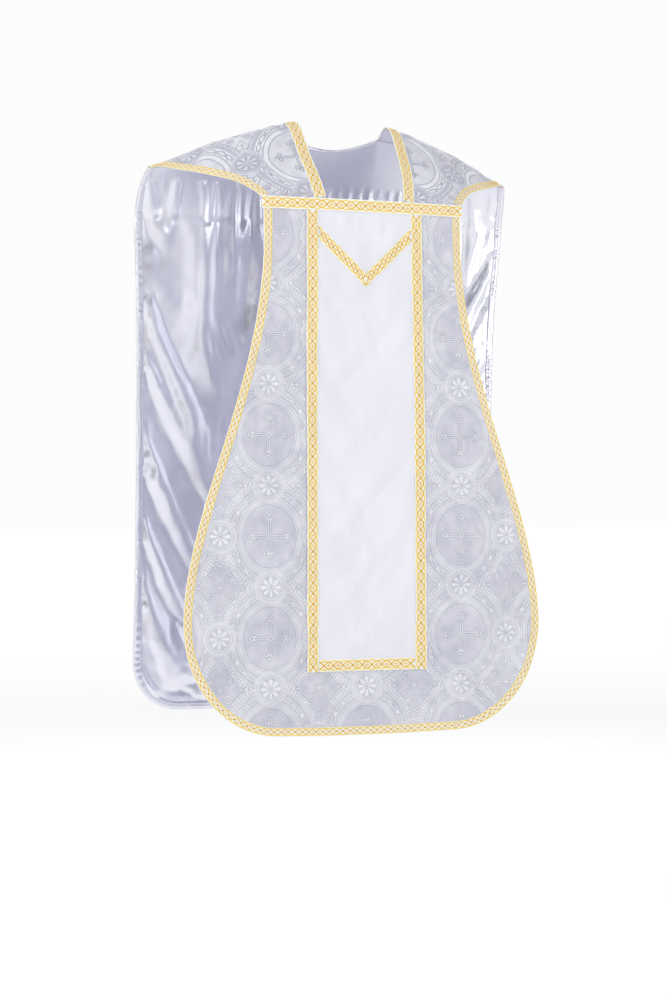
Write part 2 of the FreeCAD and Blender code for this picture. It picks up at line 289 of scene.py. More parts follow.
def crumple(x, z, sewn_at, wider, longer, bend, gravity, seed, skew=0.0, frames=40):
    """Relief of cloth that was cut a little larger than the place it is sewn into.
    It starts flat in its cut size, and its sewn points then draw it in."""
    rows, cols = x.shape
    start = 0.6 * ripple(x, z, seed, 12, 160, 50, 0.2, 0.5) * (1 - sewn_at)
    hung = np.stack([x, start, z], -1).reshape(-1, 3)
    cut = np.stack([x * (1 + wider) + skew * z, start, z * (1 + longer)], -1).reshape(-1, 3)
    obj = new_mesh("cloth_at_work", cut, grid_quads(rows, cols), cut[:, ::2] * MM, [])
    obj.shape_key_add(name="cut")
    draw_in = obj.shape_key_add(name="hung")
    draw_in.data.foreach_set("co", (hung * MM).ravel())
    for frame, value in ((1, 0.0), (frames // 2, 1.0)):
        draw_in.value = value
        draw_in.keyframe_insert("value", frame=frame)
    sewn = obj.vertex_groups.new(name="sewn")
    sewn.add([int(i) for i in np.flatnonzero(sewn_at)], 1.0, "REPLACE")
    cloth = obj.modifiers.new("cloth", "CLOTH")
    cloth.collision_settings.use_collision = False
    cloth.point_cache.frame_start, cloth.point_cache.frame_end = 1, frames
    rules = cloth.settings
    rules.quality = 7
    rules.mass = 0.25
    rules.tension_stiffness = rules.compression_stiffness = 15
    rules.shear_stiffness = 5
    rules.bending_stiffness = bend
    rules.vertex_group_mass = "sewn"
    rules.effector_weights.gravity = gravity
    scene = bpy.context.scene
    scene.frame_start, scene.frame_end = 1, frames
    for frame in range(1, frames + 1):
        scene.frame_set(frame)
    done = obj.evaluated_get(bpy.context.evaluated_depsgraph_get()).to_mesh()
    co = np.empty(rows * cols * 3, np.float32)
    done.vertices.foreach_get("co", co)
    bpy.data.objects.remove(obj)
    scene.frame_set(1)
    return co.reshape(rows, cols, 3)[..., 1].astype(float) / MM


def cubic(grid, row, col):
    """Smooth reading of a grid between its points."""
    def weights(f):
        return (-0.5 * f + f * f - 0.5 * f ** 3, 1 - 2.5 * f * f + 1.5 * f ** 3,
                0.5 * f + 2 * f * f - 1.5 * f ** 3, 0.5 * (f ** 3 - f * f))
    r0, c0 = np.floor(row).astype(int), np.floor(col).astype(int)
    total = 0.0
    for i, wr in enumerate(weights(row - r0)):
        r = np.clip(r0 + i - 1, 0, grid.shape[0] - 1)
        for j, wc in enumerate(weights(col - c0)):
            total = total + wr * wc * grid[r, np.clip(c0 + j - 1, 0, grid.shape[1] - 1)]
    return total


def chevron_distance(x, z):
    """Distance from the middle line of the V-shaped braid."""
    slope = (CHEVRON_TOP - CHEVRON_LOW) / CHEVRON_REACH
    return np.abs(z - CHEVRON_LOW - slope * np.abs(x)) / math.hypot(1, slope)


class Relief:
    """Wrinkles of one layer, simulated once and then read at any x, z."""

    def __init__(self, outline, top, low, step, seam, strength=1.0, pillar=False, chevron=False, **cloth):
        line, last = outline
        self.heights = np.arange(top, low, -step)
        self.half = np.interp(-self.heights, -line[:last, 1], line[:last, 0])
        cols = int(2 * self.half.max() / step) | 1
        x = self.half[:, None] * np.linspace(-1, 1, cols)[None]
        z = np.repeat(self.heights[:, None], cols, 1)
        sewn_at = (self.half[:, None] - np.abs(x) < seam) | (z > top - 5) | (z < self.heights[-1] + 5)
        if pillar:
            sewn_at |= (np.abs(np.abs(x) - PILLAR_SEAM) < 9) & (z > PILLAR_FOOT - 12)
            sewn_at |= (np.abs(z - PILLAR_FOOT - 0.5 * WIDE) < 10) & (np.abs(x) < PILLAR_TOP_HALF)
        if chevron:
            sewn_at |= chevron_distance(x, z) < 12
        self.grid = crumple(x, z, sewn_at, **cloth) * strength

    def __call__(self, x, z):
        row = np.interp(-z, -self.heights, np.arange(len(self.heights)))
        half = np.interp(-z, -self.heights, self.half)
        col = (np.clip(x / half, -1, 1) + 1) * 0.5 * (self.grid.shape[1] - 1)
        return cubic(self.grid, row, col)


def one_sided(relief, slack):
    """Keeps a layer on its own side of the one beneath it."""
    return 0.5 * (relief + np.sqrt(relief * relief + slack * slack)) - 0.5 * slack


PILLAR_LINE = (np.array([(93.0, -160.0), (93.0, -975.0)]), 2)
PANEL_CLOTH = dict(pillar=True, wider=0.006, longer=0.003, bend=0.6, gravity=0.06)
front_relief = Relief(front_side(), -160, -1072, 10, 17, seed=3, **PANEL_CLOTH)
back_relief = Relief(back_side(), -160, -1040, 11, 17, seed=8, **PANEL_CLOTH)
orphrey_relief = Relief(PILLAR_LINE, -166, -960, 10, 2, strength=2.4, chevron=True, wider=0.0015,
                        longer=0.001, skew=-0.024, bend=6.0, gravity=0.05, seed=5)
front_lining_relief = Relief(front_side(), -160, -1066, 11, 18, wider=0.025, longer=0.012,
                             bend=0.3, gravity=0.18, seed=6)
back_lining_relief = Relief(back_side(), -95, -1036, 10, 18, wider=0.030, longer=0.014,
                            bend=0.25, gravity=0.18, seed=4)


# Repeat of the damask, and the height of one row of discs
DISC_WIDE, DISC_HIGH = 182.0, 176.0
DISC_TOP = -384.0


def disc_pucker(x, z, seed):
    """Small upright puckers in the smooth discs of the damask."""
    i, j = np.round(x / DISC_WIDE), np.round((z - DISC_TOP) / DISC_HIGH)
    dx, dz = x - i * DISC_WIDE, z - DISC_TOP - j * DISC_HIGH
    inside = smooth(50, 30, np.hypot(dx, 0.9 * dz))
    turn = np.sin(i * 12.9 + j * 78.2 + seed)
    wave = np.sin(2 * math.pi * (dx + (0.15 + 0.2 * turn) * dz) / (23 + 5 * turn) + 9 * turn)
    return 0.75 * inside * wave * (0.4 + 0.6 * np.abs(turn))


def front_fold(x, z):
    """How far the front panel stands out from its plain shape."""
    low = smooth(-190, -520, z)
    broad = 2.0 * low * ripple(x, z, 11, 6, 420, 260, 0.10, 0.20)
    fine = 0.35 * smooth(-170, -230, z) * ripple(x, z, 12, 14, 80, 30, 0.15, 0.5)
    return broad + fine + front_relief(x, z) + disc_pucker(x, z, 1.0) * smooth(-200, -260, z)


def back_fold(x, z):
    low = smooth(-190, -480, z)
    broad = 3.4 * low * ripple(x, z, 21, 6, 360, 200, -0.05, 0.18)
    fine = 0.4 * smooth(-150, -260, z) * ripple(x, z, 22, 14, 80, 30, 0.1, 0.5)
    return broad + fine + back_relief(x, z) + disc_pucker(x, z, 2.0) * smooth(-200, -260, z)


def front_point(x, z, depth):
    return np.stack([x, front_y(x, z) - front_fold(x, z) + depth, z], -1)


def upper_back_cloth(u, s, depth):
    u, s = np.broadcast_arrays(u, s)
    p = upper_back_point(u, s)
    p[..., 1] += back_fold(p[..., 0], p[..., 2]) * smooth(0.5, 1.0, s) - depth
    return p


def back_point(x, z, depth):
    return np.stack([x, back_y(x, z) + back_fold(x, z) - depth, z], -1)


# braids

def read_table(s, known, table):
    """Each column of a table, read at s."""
    return np.stack([np.interp(s, known, column) for column in table.T], -1)


class Path:
    """A line of points with directions at each, read by the distance along it."""

    def __init__(self, points, *directions):
        self.s = arc_length(points)
        self.length = self.s[-1]
        self.tables = (points, *directions)

    def read(self, s):
        """The point and directions at s, and how far s is past the ends."""
        inside = np.clip(s, 0, self.length)
        found = [read_table(inside, self.s, table) for table in self.tables]
        return *found, np.asarray(s - inside)[..., None]


class Track(Path):
    """A path on the cloth, with its cross direction and normal."""

    def __init__(self, points, normals):
        along = unit(np.gradient(points, axis=0))
        cross = unit(np.cross(normals, along))
        normal = np.cross(along, cross)
        super().__init__(points, cross, normal, np.cross(cross, normal))

    def at(self, s, v, h):
        p, cross, normal, along, over = self.read(s)
        return p + cross * np.asarray(v)[..., None] + normal * np.asarray(h)[..., None] + along * over


class PanelTrack(Path):
    """A path on a hanging panel; what lies along it follows every fold of the panel."""

    def __init__(self, point, path, inward):
        self.point = point
        along = unit(np.gradient(path, axis=0))
        super().__init__(path, np.stack([-along[:, 1], along[:, 0]], -1) * inward, along)

    def at(self, s, v, h):
        p, cross, along, over = self.read(s)
        p = p + cross * np.asarray(v)[..., None] + along * over
        return self.point(p[..., 0], p[..., 1], -np.asarray(h))


class Galloon:
    """Collects the ground, threads and beads of one braid into one mesh."""

    def __init__(self, track):
        self.track = track
        self.points, self.quads, self.uv, self.mats, self.count = [], [], [], [], 0

    def add(self, points, uv, quads, mat):
        self.points.append(points.reshape(-1, 3))
        self.uv.append(uv.reshape(-1, 2) * MM)
        self.quads.append(quads + self.count)
        self.mats.append(np.broadcast_to(mat, len(quads)))
        self.count += len(self.points[-1])

    def strand(self, s, v, width, height, base, mat):
        """A raised thread bundle that follows v(s) on the braid."""
        ds, dv = np.gradient(s), np.gradient(v)
        size = np.hypot(ds, dv)
        ns, nv = -dv / size, ds / size
        half = 0.5 * width
        rows = [self.track.at(s + ns * half * k, v + nv * half * k, base + height * lift)
                for k, lift in ((-1.0, 0.0), (-0.45, 0.85), (0.45, 0.85), (1.0, 0.0))]
        along = arc_length(np.stack([s, v], -1))
        across = np.array([0, 0.35, 0.65, 1.0]) * width
        uv = np.stack([np.repeat(along[:, None], 4, 1), np.tile(across, (len(s), 1))], -1)
        self.add(np.stack(rows, 1), uv, grid_quads(len(s), 4), mat)

    def beads(self, s, v, rs, rv, height, base, mat):
        """Small raised diamonds, one at each s."""
        corners = [(-rs, 0), (0, -rv), (rs, 0), (0, rv)]
        grid = np.stack([self.track.at(s + ds * share, v + dv * share + 0 * s, base + lift + 0 * s)
                         for share, lift in ((1.0, 0.0), (0.45, height)) for ds, dv in corners], 1)
        uv = np.zeros(grid.shape[:2] + (2,))
        uv[..., 0] = s[:, None]
        one = np.array([(0, 1, 5, 4), (1, 2, 6, 5), (2, 3, 7, 6), (3, 0, 4, 7), (4, 5, 6, 7)])
        quads = (one[None] + 8 * np.arange(len(s))[:, None, None]).reshape(-1, 4)
        self.add(grid, uv, quads, mat)

    def build(self, name):
        return new_mesh(name, np.vstack(self.points), np.vstack(self.quads), np.vstack(self.uv),
                        [MAT[mat] for mat in BRAID_MATERIALS], np.concatenate(self.mats))


BRAID_MATERIALS = ("braid_ground", "gold", "selvage", "gold_deep", "gold_pale")
GROUND, GOLD, SELVAGE, GOLD_DEEP, GOLD_PALE = range(5)
# Half of the ground's cross section, from its edge inwards: share of the width, height in mm
BRAID_EDGE = [(0.5, 0.0), (0.5, 0.45), (0.465, 0.62), (0.43, 0.70), (0.29, 0.73), (0.15, 0.75)]


def braid(name, track, width, period, lift, mitre=(0.0, 0.0)):
    """Gold and white galloon. mitre skews each end: s moves by mitre * v."""
    galloon = Galloon(track)
    count = max(1, round(track.length / period))
    period = track.length / count
    n = count * 14 + 1
    s = np.linspace(0, track.length, n)[:, None]
    base = lift + 0.75

    def skew(ss, vv):
        f = ss / track.length
        return ss + mitre[0] * vv * (1 - f) + mitre[1] * vv * f

    # ground band with its picots, and an underside that follows the cloth
    profile = np.array([(-v, h) for v, h in BRAID_EDGE] + [(0.0, 0.75)] + BRAID_EDGE[::-1])
    sides = len(profile)
    v = np.tile(profile[:, 0] * width, (n, 1))
    ss = skew(np.repeat(s, sides, 1), v)
    picot = 0.18 * np.cos(2 * math.pi * ss / 1.9) * (np.abs(v) > 0.49 * width)
    top = track.at(ss, v + np.sign(v) * picot, lift + np.tile(profile[:, 1], (n, 1)))
    col = np.tile(np.arange(sides - 1), n - 1)
    edge = (col <= 1) | (col >= sides - 3)
    galloon.add(top, np.stack([ss, v], -1), grid_quads(n, sides), np.where(edge, SELVAGE, GROUND))
    flat = np.tile(np.linspace(-0.5, 0.5, 9) * width, (n, 1))
    under = skew(np.repeat(s, 9, 1), flat)
    galloon.add(track.at(under, flat, np.full_like(flat, lift)), np.stack([under, flat], -1),
                grid_quads(n, 9)[:, ::-1], GROUND)

    # border strands, and two strands that cross between them
    k = width / WIDE
    narrow = k < 0.8
    border, swing, thread = (0.375, 0.018, 1.7) if narrow else (0.322, 0.045, 2.3 * k)
    reach, diagonal = (0.285, 1.35) if narrow else (0.305, 2.1 * k)
    raised = k ** 0.5
    fine = np.linspace(0, track.length, count * 16 + 1)
    wave = math.pi * (fine / period)
    for sign in (1, -1):
        vv = sign * width * (border - swing * np.cos(2 * wave))
        galloon.strand(skew(fine, vv), vv, thread, 0.55 * raised, base - 0.05, GOLD_PALE)
    for sign in (1, -1):
        vv = sign * reach * width * np.arcsin(0.97 * np.cos(wave)) / math.asin(0.97)
        hop = 0.12 + 0.08 * np.sin(2 * wave) * sign
        galloon.strand(skew(fine, vv), vv, diagonal, 0.62 * raised, base - 0.05 + hop, GOLD)

    # beads or four petals in the cells, and beads on the crossings
    cells = np.arange(count + 1) * period
    cells = cells[(cells > 0.25 * period) & (cells < track.length - 0.25 * period)]
    crossings = (np.arange(count) + 0.5) * period
    high = base + 0.55 * raised
    if narrow:
        galloon.beads(cells, 0, 0.085 * width, 0.070 * width, 0.45, base, GOLD_DEEP)
        galloon.beads(crossings, 0, 0.115 * width, 0.090 * width, 0.35, high, GOLD_DEEP)
    else:
        off, r = 0.112 * width, 0.074 * width
        for ds, dv in ((off, 0), (-off, 0), (0, off), (0, -off)):
            galloon.beads(cells + ds, dv, r, r, 0.45 * raised, base, GOLD)
        galloon.beads(cells, 0, 0.045 * width, 0.045 * width, 0.55 * raised, base, GOLD_DEEP)
        galloon.beads(crossings, 0, 0.092 * width, 0.075 * width, 0.35 * raised, high, GOLD_DEEP)
        for sign in (1, -1):
            galloon.beads(crossings, sign * 0.205 * width, 0.034 * width, 0.034 * width, 0.3, base, GOLD_DEEP)
    return galloon.build(name)


# materials

MAT = {}


class Net:
    """Writes shader maths as ordinary expressions."""

    def __init__(self, tree):
        self.tree = tree
        self.bsdf = tree.nodes.get("Principled BSDF")

    def link(self, source, target):
        self.tree.links.new(source, target)

    def node(self, kind, **props):
        n = self.tree.nodes.new(kind)
        for key, value in props.items():
            setattr(n, key, value)
        return n

    def math(self, op, *args):
        n = self.node("ShaderNodeMath", operation=op)
        for i, a in enumerate(args):
            if isinstance(a, E):
                self.link(a.s, n.inputs[i])
            else:
                n.inputs[i].default_value = float(a)
        return E(self, n.outputs[0])

    def axes(self, kind="UV"):
        """The first two axes of a texture coordinate, and the coordinate itself."""
        whole = self.node("ShaderNodeTexCoord").outputs[kind]
        sep = self.node("ShaderNodeSeparateXYZ")
        self.link(whole, sep.inputs[0])
        return E(self, sep.outputs[0]), E(self, sep.outputs[1]), whole

    def noise(self, place, scale, detail=2.0, rough=0.5):
        n = self.node("ShaderNodeTexNoise")
        self.link(place, n.inputs["Vector"])
        n.inputs["Scale"].default_value = scale
        n.inputs["Detail"].default_value = detail
        n.inputs["Roughness"].default_value = rough
        return E(self, n.outputs["Fac"])

    def paint(self, share, a, b):
        """Base colour between a and b; the mix node clamps the share."""
        mix = self.node("ShaderNodeMix", data_type="RGBA")
        self.link(share.s, mix.inputs["Factor"])
        mix.inputs["A"].default_value = (*a, 1)
        mix.inputs["B"].default_value = (*b, 1)
        self.link(mix.outputs["Result"], self.bsdf.inputs["Base Color"])

    def bump(self, height, distance):
        n = self.node("ShaderNodeBump")
        n.inputs["Strength"].default_value = 1.0
        n.inputs["Distance"].default_value = distance
        self.link(height.s, n.inputs["Height"])
        self.link(n.outputs["Normal"], self.bsdf.inputs["Normal"])


class E:
    """A shader value that takes part in expressions."""

    def __init__(self, net, socket):
        self.net, self.s = net, socket

    def __rsub__(self, other):
        return self.net.math("SUBTRACT", other, self)

    def hypot(self, other):
        return (self * self + other * other).sqrt()

    def angle(self, other):
        return self.net.math("ARCTAN2", other, self)

    def step(self, a, b):
        """0 at a and 1 at b, smooth between; a may be above b."""
        n = self.net.node("ShaderNodeMapRange", interpolation_type="SMOOTHSTEP")
        lo, hi = (a, b) if a < b else (b, a)
        self.net.link(self.s, n.inputs[0])
        n.inputs[1].default_value, n.inputs[2].default_value = lo, hi
        n.inputs[3].default_value, n.inputs[4].default_value = (0, 1) if a < b else (1, 0)
        return E(self.net, n.outputs[0])

    def under(self, edge):
        """1 where the value is under the edge, over a soft step 0.008 wide."""
        return self.step(edge + 0.004, edge - 0.004)


def shader_operation(method, operation):
    def write(self, *others):
        return self.net.math(operation, self, *others)
    setattr(E, method, write)


for method, operation in (
        ("__add__", "ADD"), ("__sub__", "SUBTRACT"), ("__mul__", "MULTIPLY"), ("__abs__", "ABSOLUTE"),
        ("min", "MINIMUM"), ("max", "MAXIMUM"), ("sin", "SINE"), ("cos", "COSINE"), ("round", "ROUND"),
        ("sqrt", "SQRT")):
    shader_operation(method, operation)


def material(name, colour, rough, axes="UV", **inputs):
    """New material. Returns its net, and the coordinates that it is drawn with."""
    mat = bpy.data.materials.new(name)
    mat.use_nodes = True
    net = Net(mat.node_tree)
    net.bsdf.inputs["Base Color"].default_value = (*colour, 1)
    net.bsdf.inputs["Roughness"].default_value = rough
    for key, value in inputs.items():
        net.bsdf.inputs[key.replace("_", " ")].default_value = value
    MAT[name] = mat
    return net, *net.axes(axes)


def plain_weave(u, v, pitch):
    k = 2 * math.pi / pitch
    return ((u * k).sin() * (v * k).sin()) * 0.5 + 0.5


def twill(u, v, pitch):
    return ((u + v) * (2 * math.pi / pitch)).sin() * 0.5 + 0.5


def outside(value, low, high):
    """How far a value is outside a range, and 0 within it."""
    return (low - value).max(value - high).max(0.0)


def damask(u, v):
    """Medallion damask. Returns its line work, the shadow beside the lines and its tones."""
    p, q = u * (1 / (DISC_WIDE * MM)), v * (1 / (DISC_HIGH * MM))
    x, y = p - p.round(), q - q.round()
    ax, ay = abs(x), abs(y)
    r = (x * 0.948).hypot(y * 0.818)
    ang = x.angle(y)

    # cross with flowered ends
    big, small = ax.max(ay), ax.min(ay)
    bar = abs(small - 0.010) + outside(big, 0.020, 0.148)
    petal = abs(((big - 0.186) * 0.62).hypot(small) - 0.015)
    curl = abs((big - 0.163).hypot(small - 0.036) - 0.019) + outside(small, 0.008, 1.0)
    boss = abs(ax.hypot(ay) - 0.020)
    cross = bar.min(petal).min(curl).min(boss)

    # rings and the vine between them
    vine = (ang * 10.0).sin() * 0.021
    cell = ang * (10.0 / math.pi)
    cell = cell - cell.round()
    lean = (ang * 5.0).sin() * 0.012
    bud = abs((r - 0.358 - lean).hypot(cell * 0.112) - 0.013)
    rings = abs(r - 0.262).min(abs(r - 0.314)).min(abs(r - 0.404)).min(abs(r - 0.420))
    rings = rings.min(abs(r - 0.359 - vine)).min(abs(r - 0.359 + vine)).min(bud)

    # rosettes half way between the discs
    hx, hy = ax - 0.5, ay - 0.5
    r1, r2 = hx.hypot(y), x.hypot(hy)
    pick = (r1 - r2).step(0.001, -0.001)
    rr = r1.min(r2)
    ra = hx.angle(y) * pick + x.angle(hy) * (1.0 - pick)
    leaf = (ra * 8.0).cos()
    rose = abs(rr - 0.018).min(abs(rr - 0.108)).min(abs(rr - 0.122))
    petals = (leaf - rr * 5.0).step(-0.50, -0.05) * outside(rr, 0.032, 0.092).under(0.006)
    in_rose = rr.under(0.170)

    # hearts, curls and a small cross between four discs
    dx, dy = abs(hx), abs(hy)
    far, near = dx.max(dy), dx.min(dy)
    lobe = abs((far - 0.236).hypot(near - 0.034) - 0.037) + outside(far, 0.222, 1.0)
    point = abs(near - (far - 0.118) * 0.60) + outside(far, 0.118, 0.226)
    heart_cross = (abs(far - 0.212) + outside(near, 0.0, 0.020)).min(near + outside(far, 0.180, 0.236))
    whirl = abs((dx - 0.090).hypot(dy - 0.090) - 0.034)
    eye = abs((dx - 0.094).hypot(dy - 0.086) - 0.014)
    sprig = abs((dx - 0.148).hypot(dy - 0.148) - 0.017)
    stalk = abs(dx - dy) + outside(far, 0.010, 0.062)
    star = near + outside(far, 0.0, 0.042)
    frame = abs(r - 0.462) + outside(rr, 0.190, 1.0)
    fill = lobe.min(point).min(heart_cross).min(whirl).min(eye).min(sprig).min(stalk).min(star).min(frame)
    in_fill = (0.440 - r).under(0.0)

    away = 0.1
    line = (rings + in_rose * away).min(cross + r.step(0.245, 0.262) * away)
    line = line.min(rose + (1.0 - in_rose) * away)
    line = line.min(fill + (1.0 - in_fill) * away + in_rose * away)
    rays = (ra * 52.0).sin().step(-0.2, 0.6) * outside(rr, 0.130, 0.162).under(0.004)
    hatch = (ang * 96.0).sin().step(-0.2, 0.6) * outside(r, 0.426, 0.448).under(0.004)
    fine = line.step(0.0066, 0.0026).max(petals * 0.6).max(rays * 0.6)
    fine = fine.max(hatch * (1.0 - in_rose) * 0.5)
    # Painted shadow beside the raised lines.
    painted_line_shadow = line.step(0.0150, 0.0070)
    disc = r.under(0.258)
    band = outside(r, 0.270, 0.306).under(0.004) * (1.0 - in_rose)
    low = rr.under(0.104).max((0.470 - r).under(0.0) * 0.6 * (1.0 - in_rose))
    return fine, painted_line_shadow, disc, band, low


def brocade(name, ground, line_gain, painted_line_shadow_gain):
    net, u, v, uv = material(name, (0.74, 0.74, 0.80), 0.5, Sheen_Weight=0.15,
                             Sheen_Roughness=0.4, Specular_IOR_Level=0.6)
    fine, painted_line_shadow, disc, band, low = damask(u, v)
    cloud = net.noise(uv, 11.0, 3.0) - 0.5
    patch = net.noise(uv, 45.0, 3.0) - 0.5
    grain = net.noise(uv, 620.0, 2.0, 0.7) - 0.5
    # Beside the lines the tone carries a painted shadow; its gain is below zero on the front brocade.
    tone = fine * line_gain + painted_line_shadow * painted_line_shadow_gain + band * 0.10 + ground
    tone = tone - disc * 0.09 - low * 0.08 + cloud * 0.60 + patch * 0.60 + grain * 0.80
    net.paint(tone, (0.48, 0.48, 0.58), (0.96, 0.96, 1.0))
    rough = 0.46 - fine * 0.10 - disc * 0.10 + patch * 0.25 + grain * 0.15
    net.link(rough.s, net.bsdf.inputs["Roughness"])
    height = twill(u, v, 0.0011) * 0.25 + fine - disc * 0.3 - low * 0.25
    height = height + grain * 1.6 + patch * 3.5
    net.bump(height, 0.0008)


def satin(name, stitches):
    """Lining satin; with stitches it is the turned band, whose uv runs along and across it."""
    net, u, v, uv = material(name, (0.80, 0.80, 0.87), 0.20, Specular_IOR_Level=0.8, Metallic=0.85)
    tone = net.noise(uv, 7.0, 3.0)
    height = twill(u, v, 0.0007) * 0.25 + net.noise(uv, 300.0, 3.0) * 0.7
    if stitches:
        dash = (u * (2 * math.pi / 0.0030)).sin().step(-0.1, 0.3)
        row = abs(v - 0.0077).min(abs(v - 0.0126)).step(0.0007, 0.0003)
        height = height + dash * row * 3.0
        tone = tone - row * (1.0 - dash) * 0.6
    net.paint(tone, (0.68, 0.68, 0.78), (0.91, 0.91, 0.96))
    net.bump(height, 0.00014)


def gold(name, dark, light):
    net, u, v, uv = material(name, light, 0.42, Metallic=0.12, Specular_IOR_Level=0.4)
    net.paint(net.noise(uv, 420.0, 2.0), dark, light)
    net.bump(((u + v * 0.7) * (2 * math.pi / 0.0007)).sin(), 0.0001)


def make_materials():
    brocade("brocade", 0.44, 0.80, -0.36)
    # The shoulders' copy of the brocade: light ground and dark lines, painted to stand for the damask's sheen
    # turning on the shoulder tops.
    brocade("brocade_shoulder_painted_sheen", 0.66, -1.25, 0.04)
    satin("lining", False)
    satin("facing", True)

    net, u, v, uv = material("orphrey", (0.87, 0.87, 0.92), 0.48, Sheen_Weight=0.2, Specular_IOR_Level=0.5)
    cloud = net.noise(uv, 5.0, 3.0)
    net.paint(cloud, (0.70, 0.70, 0.775), (0.84, 0.84, 0.872))
    net.bump(plain_weave(u, v, 0.0008) + net.noise(uv, 500.0) * 0.8, 0.00012)

    net, u, v, uv = material("canvas", (0.80, 0.77, 0.68), 0.85)
    slub = net.noise(uv, 120.0, 3.0)
    net.paint(slub, (0.62, 0.58, 0.47), (0.80, 0.77, 0.68))
    net.bump(plain_weave(u, v, 0.0016) + slub, 0.0003)

    gold("gold", (0.72, 0.42, 0.002), (0.94, 0.63, 0.007))
    gold("gold_deep", (0.52, 0.26, 0.001), (0.72, 0.39, 0.002))
    gold("gold_pale", (0.90, 0.62, 0.03), (1.0, 0.80, 0.11))

    net, u, v, uv = material("braid_ground", (0.93, 0.91, 0.86), 0.55, Sheen_Weight=0.2)
    rib = (u * (2 * math.pi / 0.0009)).sin()
    glow = abs(v).step(0.0092, 0.0068) * 0.14 + net.noise(uv, 60.0) * 0.16
    net.paint(glow, (1.0, 0.99, 0.955), (1.0, 0.945, 0.68))
    net.bump(rib, 0.00015)

    net, u, *_ = material("selvage", (0.97, 0.96, 0.92), 0.5)
    rib = (u * (2 * math.pi / 0.0012)).sin()
    net.paint(rib * 0.5 + 0.5, (0.93, 0.88, 0.76), (0.98, 0.97, 0.94))
    net.bump(rib, 0.00025)

    net, x, y, place = material("floor", (0.96, 0.96, 0.96), 0.9, "Object", Emission_Color=(1, 1, 1, 1))
    far = x.hypot(y).step(1.0, 9.0)
    mottle = net.noise(place, 0.8, 3.0) * 0.04
    net.paint(far + mottle, (0.55, 0.55, 0.55), (0.0, 0.0, 0.0))
    glow = far * 0.50 + 0.46
    net.link(glow.s, net.bsdf.inputs["Emission Strength"])


make_materials()

# pieces

# Depth of the two faces of each layer, and how high a braid's underside lies
LAYERS = {"brocade": (0.0, 0.8), "canvas": (1.1, 1.9), "lining": (2.2, 2.7)}
ORPHREY = (-0.9, -0.3)
ON_CLOTH, ON_ORPHREY, ON_BEND = 0.25, 1.15, 1.4
# Top of the front cloths, and length of the upper back
CLOTH_TOP, UPPER_BACK_DROP = -149.0, 170.0
# Where each panel's cloth starts and stops to bend, in metres
BENDS = {"front": (FRONT, (0, -0.1, -0.150), (0, -0.1, -0.205)),
         "back": (BACK, (0, 0.11, -0.158), (0, 0.11, -0.220))}


def attach(obj, side, *nodes):
    """A piece that shows these nodes; on a panel its place is baked into its mesh, else it hangs from the
    yoke.
    """
    if side in BENDS:
        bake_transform(obj)
    else:
        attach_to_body(obj, YOKE)
    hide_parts(*nodes)


def own_wrinkles(part, relief, x, z):
    """Extra depth of a layer: only the lining has wrinkles of its own."""
    return one_sided(relief(x, z), 0.5) if part == "lining" else 0.0


def front_sheet(part):
    x, z = panel_grid(front_side(), CLOTH_TOP)
    uv = np.stack([x, z - DISC_TOP], -1) * MM
    own = own_wrinkles(part, front_lining_relief, x, z)
    faces = [front_point(x, z, depth + own) for depth in LAYERS[part]]
    return closed_sheet("front_%s_cloth" % part, *faces, uv, MAT[part])


def back_sheet(part):
    """Cloth of the whole back: the rows of the upper back, then those of the hanging panel."""
    x, z = panel_grid(back_side(), BACK_TOP)
    rows, cols = int(UPPER_BACK_DROP / GRID) - 1, x.shape[1]
    s, u = np.meshgrid(np.linspace(0, 1, rows + 1)[:-1], np.linspace(-1, 1, cols), indexing="ij")
    plain = upper_back_point(u, s)
    own = own_wrinkles(part, back_lining_relief, x, z)
    own_top = own_wrinkles(part, back_lining_relief, plain[..., 0], plain[..., 2])
    faces = [np.vstack([upper_back_cloth(u, s, depth + own_top), back_point(x, z, depth + own)])
             for depth in LAYERS[part]]
    drop = np.linalg.norm(np.diff(faces[0], axis=0), axis=2)
    arc = np.concatenate([np.zeros((1, cols)), np.cumsum(drop, 0)])
    arc = arc - arc[rows]
    uv = np.stack([faces[0][..., 0], -arc + BACK_TOP - DISC_TOP], -1) * MM
    return closed_sheet("back_%s_cloth" % part, *faces, uv, MAT[part])


for part in LAYERS:
    band = ["chest_band"] if part == "brocade" else []
    attach(front_sheet(part), "front", "front_" + part, *band)
for part in LAYERS:
    attach(back_sheet(part), "back", "back_" + part, "upper_back_" + part)


def shoulder_fold(t, u):
    p = shoulder_point(t, u)
    gap = shoulder_width(t)
    free = smooth(22, 50, u * gap) * smooth(15, 40, (1 - u) * gap) * np.sin(math.pi * np.clip(t, 0, 1)) ** 0.5
    return 1.3 * free * ripple(p[..., 0], p[..., 1] * 1.3, 31, 10, 110, 40, 0.5, 0.6)


def shoulder_layer(t, u, depth):
    n = shoulder_normal(t, u)
    return shoulder_point(t, u) + n * (shoulder_fold(t, u) - depth)[..., None]


# Points each way on a shoulder piece, and where the damask starts on it
SHOULDER_GRID, MOTIF_X, MOTIF_Z = 80, -27.0, -95.0


def shoulder_sheet(name, layer, mat, sign):
    n = SHOULDER_GRID
    t, u = np.meshgrid(np.linspace(0, 1, n), np.linspace(0, 1, n), indexing="ij")
    faces = [shoulder_layer(t, u, depth) * (sign, 1, 1) for depth in layer]
    arc = arc_length(shoulder_point(t[:, n // 2], u[:, n // 2]))
    across = shoulder_width(t) * u + MOTIF_X
    uv = np.stack([sign * across, np.repeat(arc[:, None], n, 1) + MOTIF_Z], -1) * MM
    return closed_sheet(name, *faces, uv, mat)


